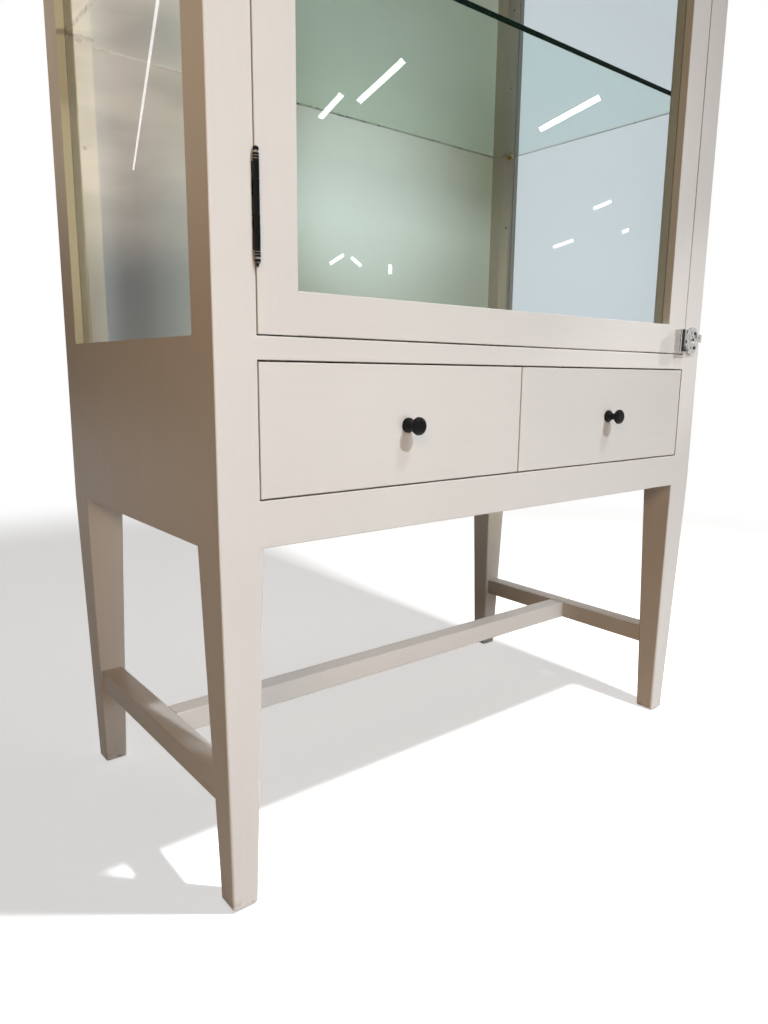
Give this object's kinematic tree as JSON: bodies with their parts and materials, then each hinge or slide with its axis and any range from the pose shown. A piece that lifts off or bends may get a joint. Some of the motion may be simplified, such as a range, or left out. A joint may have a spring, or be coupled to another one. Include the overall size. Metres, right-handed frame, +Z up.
{
  "type": "display armoire",
  "caption": "Painted wooden display armoire on tall tapered legs, with a glazed hinged door, glazed sides, glass shelves and drawers below.",
  "frame": {"origin": "on the floor, under the middle of the whole object's box", "axes": "+Z up, the front faces -Y, +X to the right of someone facing the front"},
  "size_m": [1.03, 0.552, 2],
  "materials": {
    "painted_wood": "matt pinkish grey paint",
    "bare_wood": "unpainted, lightly waxed",
    "clear_glass": "clear, faintly green",
    "black_iron": "matt black",
    "nickel": "bright nickel plate",
    "screw_steel": "blackened",
    "brass": "plain",
    "nylon": "dark nylon"
  },
  "bodies": {
    "carcass": {"back_panel": "painted_wood", "deck_panel": "painted_wood", "drawer_divider": "bare_wood", "drawer_runners": "bare_wood", "foot_glides": "nylon", "frame_screws": "screw_steel", "front_apron": "painted_wood", "front_top_rail": "painted_wood", "glass_beads_left": "painted_wood", "glass_beads_right": "painted_wood", "hinge_frame_leaf_lower": "black_iron", "hinge_frame_leaf_upper": "black_iron", "hinge_pin_lower": "black_iron", "hinge_pin_upper": "black_iron", "latch_pivot": "nickel", "latch_plate": "nickel", "long_stretcher": "painted_wood", "middle_rail": "painted_wood", "post_front_left": "painted_wood", "post_front_right": "painted_wood", "post_rear_left": "painted_wood", "post_rear_right": "painted_wood", "rear_apron": "painted_wood", "rear_top_rail": "painted_wood", "shelf_lower": "clear_glass", "shelf_pins": "brass", "shelf_upper": "clear_glass", "side_glass_left": "clear_glass", "side_glass_right": "clear_glass", "side_panel_left": "painted_wood", "side_panel_right": "painted_wood", "side_stretcher_left": "painted_wood", "side_stretcher_right": "painted_wood", "side_top_rail_left": "painted_wood", "side_top_rail_right": "painted_wood", "top_board": "painted_wood"},
    "door": {"door_beads": "painted_wood", "door_glass": "clear_glass", "door_rail_bottom": "painted_wood", "door_rail_top": "painted_wood", "door_screws": "screw_steel", "door_stile_left": "painted_wood", "door_stile_right": "painted_wood", "hinge_door_leaf_lower": "black_iron", "hinge_door_leaf_upper": "black_iron", "latch_keeper": "nickel"},
    "latch": {"latch_lever": "nickel"},
    "left_drawer": {"drawer_left_back": "bare_wood", "drawer_left_bottom": "bare_wood", "drawer_left_front": "painted_wood", "drawer_left_knob": "black_iron", "drawer_left_side_left": "bare_wood", "drawer_left_side_right": "bare_wood"},
    "right_drawer": {"drawer_right_back": "bare_wood", "drawer_right_bottom": "bare_wood", "drawer_right_front": "painted_wood", "drawer_right_knob": "black_iron", "drawer_right_side_left": "bare_wood", "drawer_right_side_right": "bare_wood"}
  },
  "joints": [
    {"name": "door_swing", "type": "hinge", "parent": "carcass", "child": "door", "pos_m": [-0.446, -0.2531, 0.85], "axis": [0, 0, -1], "range_deg": [0, 170]},
    {"name": "latch_turn", "type": "hinge", "parent": "carcass", "child": "latch", "pos_m": [0.46, -0.257, 0.74], "axis": [0, -1, 0], "range_deg": [0, 180]},
    {"name": "left_drawer_slide", "type": "slide", "parent": "carcass", "child": "left_drawer", "axis": [0, -1, 0], "range_m": [0, 0.36]},
    {"name": "right_drawer_slide", "type": "slide", "parent": "carcass", "child": "right_drawer", "axis": [0, -1, 0], "range_m": [0, 0.36]}
  ]
}
